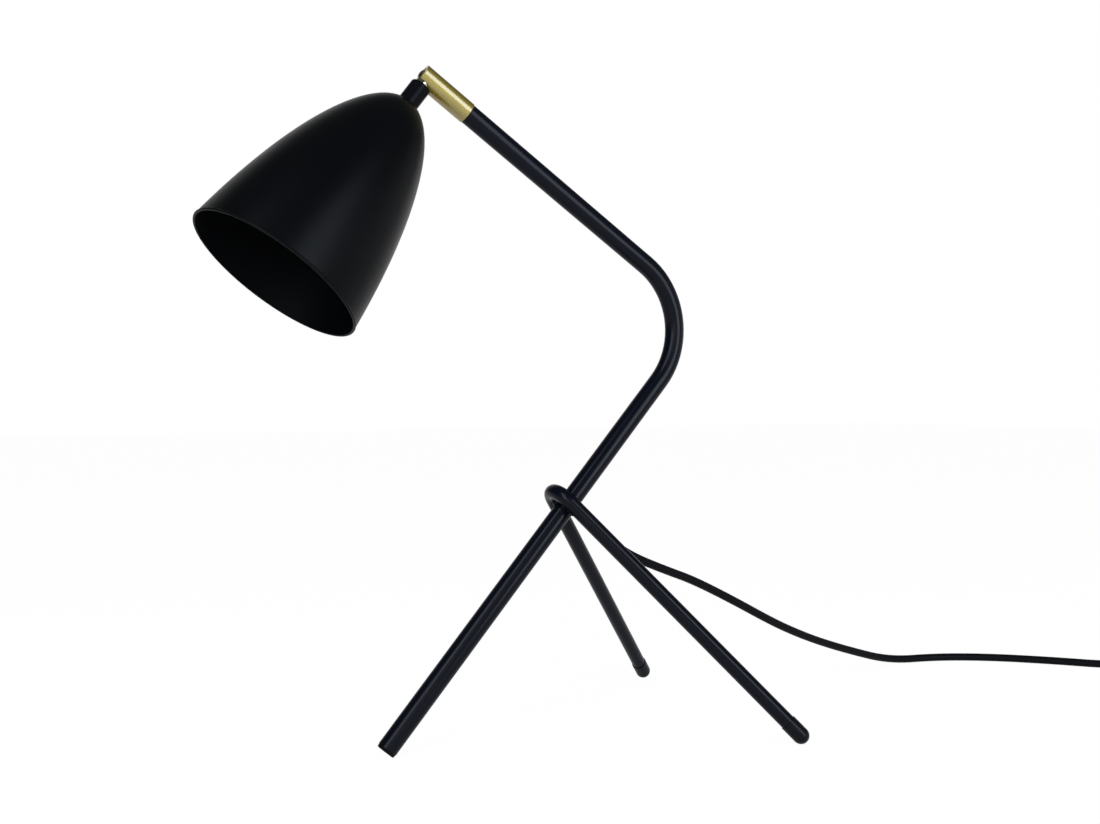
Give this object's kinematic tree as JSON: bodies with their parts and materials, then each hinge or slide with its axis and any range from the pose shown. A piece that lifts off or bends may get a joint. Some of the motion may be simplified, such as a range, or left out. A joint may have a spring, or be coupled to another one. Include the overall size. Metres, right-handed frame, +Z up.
{
  "type": "table lamp",
  "caption": "Desk lamp: a bent tube on a looped rear leg rod, a ball swivel and barrel at the arm's end, a deep spun shade with a screw lampholder, and a cord with a rocker switch and plug",
  "frame": {"origin": "the small flat where the front foot rests on the table", "axes": "+X from the front foot towards the two rear legs, +Z up, +Y completes the frame; the shade looks towards -X"},
  "size_m": [0.8929, 0.3666, 0.4549],
  "materials": {
    "black_powder": "black powder coat, satin",
    "shade_paint": "black enamel outside, light inside",
    "brass": "turned and lacquered brass",
    "steel": "plain zinc plated steel",
    "black_rubber": "black moulded rubber",
    "cord_sheath": "black flexible sheath",
    "core_sheath": "insulated cores",
    "nylon": "natural nylon",
    "holder_plastic": "heat proof thermoset",
    "contact_brass": "bright nickel plated brass",
    "black_plastic": "black moulded plastic",
    "strap": "black strap"
  },
  "bodies": {
    "stand": {"main_tube": "black_powder", "leg_rod": "black_powder", "weld_beads": "black_powder", "main_foot_plug": "black_rubber", "leg_cap_near": "black_rubber", "leg_cap_far": "black_rubber", "cord_grommet": "black_rubber", "tube_leads": "core_sheath", "arm_bush": "steel", "swivel_nipple": "steel", "swivel_washer": "steel", "swivel_nut": "brass", "cord_to_switch": "cord_sheath", "cord_to_coil": "cord_sheath", "coil": "cord_sheath", "cord_to_plug": "cord_sheath", "coil_tie": "strap", "switch_base": "black_plastic", "switch_cover": "black_plastic", "switch_screws": "steel", "switch_boots": "black_rubber", "plug_body": "black_rubber", "plug_pins": "contact_brass"},
    "barrel": {"swivel_barrel": "brass", "pressure_spring": "steel", "ball_cup": "nylon"},
    "head": {"swivel_ball": "brass", "stem_sleeve": "black_powder", "stem_nipple": "steel", "shade": "shade_paint", "shade_washer": "steel", "shade_nut": "steel", "holder_cap": "holder_plastic", "holder_body": "holder_plastic", "holder_insert": "holder_plastic", "screw_shell": "contact_brass", "centre_contact": "contact_brass", "terminal_screws": "steel", "cap_lock_screw": "steel", "head_leads": "core_sheath"},
    "rocker": {"switch_rocker": "black_plastic"}
  },
  "joints": [
    {"name": "head_swivel", "type": "hinge", "parent": "stand", "child": "barrel", "pos_m": [0.05087, 0, 0.42905], "axis": [-0.831, 0, 0.5563], "range_deg": [-160, 170]},
    {"name": "head_tilt", "type": "hinge", "parent": "barrel", "child": "head", "pos_m": [0.02502, 0, 0.44635], "axis": [-0.0446, 0.9968, -0.0666], "range_deg": [-3, 85]},
    {"name": "switch_rocker", "type": "hinge", "parent": "stand", "child": "rocker", "pos_m": [0.7, -0.116, 0.01455], "axis": [-0.6293, -0.7771, 0], "range_deg": [0, 14]}
  ]
}
